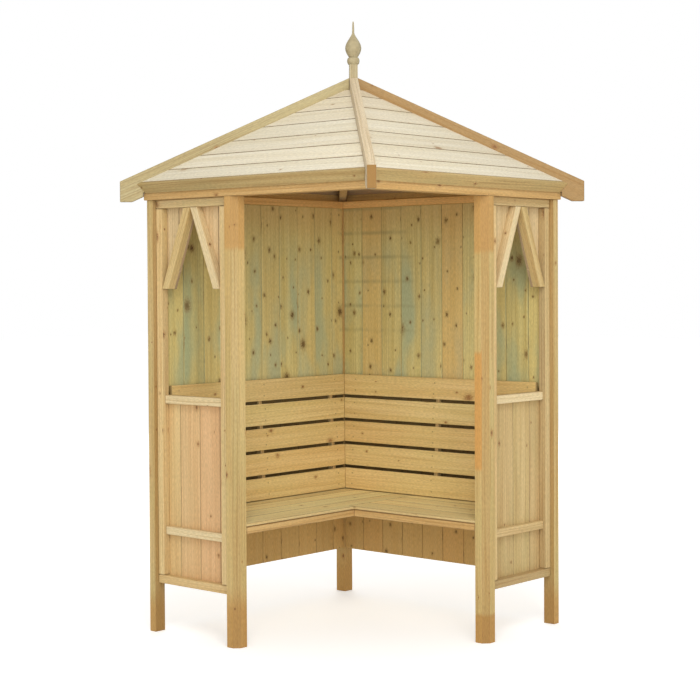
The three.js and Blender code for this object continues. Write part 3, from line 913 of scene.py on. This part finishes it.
def addRails(name, low, high):
    # the same square timber in both halves, given by two corners
    for half, put in halves.items():
        ends = [put(*low), put(*high)]
        lowest = Vector([min(end[i] for end in ends) for i in range(3)])
        highest = Vector([max(end[i] for end in ends) for i in range(3)])
        bpy.ops.object.select_all(action="DESELECT")
        bpy.ops.mesh.primitive_cube_add(size=1, location=(lowest + highest) / 2, scale=highest - lowest)
        piece = bpy.context.object
        piece.name = f"{half}{name}"
        bpy.ops.object.transform_apply()
        roundEdges(piece, rails["edge"])
        layGrain(piece, wallWay[half], "framing", warm=rails["warm"])
        finishPiece(piece, "framing")


backRails = {
    "depth": 0.034,
    "height": 0.034,
    "start": 0.0523,
    "end": 1.1477,
    "levels": (0.200, 0.700, 1.210, 1.7317),
}
ledger = {"back": 0.0466, "depth": 0.034, "start": 0.09, "end": 1.13, "low": 0.4427, "high": 0.4727}
for index, level in enumerate(backRails["levels"]):
    addRails(f"BackRail{index + 1}", (0, backRails["start"], level),
             (backRails["depth"], backRails["end"], level + backRails["height"]))
addRails("SeatLedger", (ledger["back"], ledger["start"], ledger["low"]),
         (ledger["back"] + ledger["depth"], ledger["end"], ledger["high"]))
for half, put in halves.items():
    for index, along in enumerate(rest["moreBattens"][half]):
        batten = copyPiece(bpy.data.objects[f"{half}RestBatten"], f"{half}RestBatten{index + 2}")
        activate(batten)
        bpy.ops.object.mode_set(mode="EDIT")
        bpy.ops.mesh.select_all(action="SELECT")
        bpy.ops.transform.translate(value=put(0, along, 0) - put(0, rest["batten"], 0))
        bpy.ops.object.mode_set(mode="OBJECT")
        finishPiece(batten, "framing")

# screws in the slats: one head modelled and copied, two over each batten
screw = {
    "facets": 12,
    "radius": 0.0032,
    "height": 0.0012,
    "proud": 0.0003,
    "recess": 0.5,
    "sunk": 0.0005,
    "inset": 0.022,
    "stray": 0.003,
    "dull": (132, 108, 66),
    "bright": (168, 142, 92),
    "wear": (0.3, 0.7),
    "wearScale": 900.0,
    "metallic": 0.4,
    "rough": 0.5,
}
steel, graph, shader = startMaterial("screwSteel")
worn = graph.noise(graph.add("ShaderNodeTexCoord").outputs["Object"], scale=screw["wearScale"])
worn = graph.span(worn, *screw["wear"])
graph.feed(shader, {
    "Base Color": graph.mix(worn, linear(screw["dull"]), linear(screw["bright"])),
    "Metallic": screw["metallic"],
    "Roughness": screw["rough"],
})
bpy.ops.object.select_all(action="DESELECT")
bpy.ops.mesh.primitive_cylinder_add(vertices=screw["facets"], radius=screw["radius"], depth=screw["height"],
                                    location=(0, 0, screw["proud"] - screw["height"] / 2))
screwHead = bpy.context.object
screwHead.name = "screwHead"
bpy.ops.object.transform_apply()
bpy.ops.object.mode_set(mode="EDIT")
bpy.ops.mesh.select_mode(type="FACE")
bpy.ops.mesh.select_all(action="DESELECT")
bpy.ops.object.mode_set(mode="OBJECT")
for face in screwHead.data.polygons:
    face.select = face.normal.z > 0.9
bpy.ops.object.mode_set(mode="EDIT")
bpy.ops.mesh.inset(thickness=screw["radius"] * (1 - screw["recess"]))
bpy.ops.mesh.extrude_region_move(TRANSFORM_OT_translate={"value": (0, 0, -screw["sunk"])})
bpy.ops.object.mode_set(mode="OBJECT")
screwHead.data.materials.append(steel)
for half, put in halves.items():
    heads = []
    out = put(math.cos(rest["lean"]), 0, math.sin(rest["lean"])) - put(0, 0, 0)
    turn = out.to_track_quat("Z", "Y").to_matrix().to_4x4()
    for along in rest["screwLines"]:
        for index in range(rest["slats"]):
            foot = index * (rest["slat"] + rest["gap"])
            for rise in (foot + screw["inset"], foot + rest["slat"] - screw["inset"]):
                reach = rest["face"] - rise * math.sin(rest["lean"])
                stray = random.uniform(-screw["stray"], screw["stray"])
                spot = put(reach, along + stray, rest["foot"] + rise * math.cos(rest["lean"]))
                copied = copyPiece(screwHead, f"{half}Screw")
                copied.data.transform(Matrix.Translation(spot) @ turn)
                heads.append(copied)
    screws = joinPieces(heads, f"{half}RestScrews")
    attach(screws, "root")
bpy.data.objects.remove(screwHead)
print("rails, ledgers, battens and screws added")

# floor, backdrop and light
paperLook = {
    "size": 60,
    "colour": (0.9, 0.9, 0.89, 1),
    "rough": 0.9,
    "specular": 0.1,
    "near": (0.9, 2.6),
    "lift": (0.37, 0.55),
}
white = (1, 1, 1, 1)
bpy.ops.mesh.primitive_plane_add(size=paperLook["size"], location=(0, 0, 0))
floor = bpy.context.object
floor.name = "floor"
paper, graph, shader = startMaterial("paper")
seen = graph.add("ShaderNodeLightPath").outputs["Is Camera Ray"]
away = graph.length(graph.add("ShaderNodeTexCoord").outputs["Object"])
lift = graph.span(away, *paperLook["near"], *paperLook["lift"])  # up to the white around, past the shadow
graph.feed(shader, {
    "Base Color": paperLook["colour"],
    "Roughness": paperLook["rough"],
    "Specular IOR Level": paperLook["specular"],
    "Emission Color": white,
    "Emission Strength": graph.times(seen, lift),
})
floor.data.materials.append(paper)

backdrop = {"light": 0.5, "seen": 1.0}  # what it gives as light, and how bright it looks
world = bpy.data.worlds.new("studio")
bpy.context.scene.world = world
graph = Graph(world)
rays = graph.add("ShaderNodeLightPath").outputs
seen = graph.maths("MAXIMUM", rays["Is Camera Ray"], rays["Is Transmission Ray"])
seen = graph.maths("MAXIMUM", seen, rays["Is Glossy Ray"])
strength = graph.span(seen, 0, 1, backdrop["light"], backdrop["seen"])
graph.feed(graph.tree.nodes["Background"], {"Color": white, "Strength": strength})

lamps = (
    {"name": "leftLamp", "place": (4.0, -7.4, 2.1), "power": 158, "size": 4.0, "aim": 1.0},
    {"name": "rightLamp", "place": (7.4, -4.0, 2.1), "power": 147, "size": 4.0, "aim": 1.0},
    {"name": "highLamp", "place": (3.3, -3.3, 4.7), "power": 136, "size": 2.6, "aim": 0.8},
    {"name": "backLamp", "place": (-5.6, 5.6, 3.6), "power": 240, "size": 4.0, "aim": 1.2},
)
for lamp in lamps:
    bpy.ops.object.light_add(type="AREA", location=lamp["place"])
    light = bpy.context.object
    light.name = lamp["name"]
    light.data.energy = lamp["power"]
    light.data.size = lamp["size"]
    light.visible_camera = False
    way = Vector((0, 0, lamp["aim"])) - Vector(lamp["place"])
    light.rotation_euler = way.to_track_quat("-Z", "Y").to_euler()
bpy.context.scene.view_settings.view_transform = "Standard"
print("floor and light set")
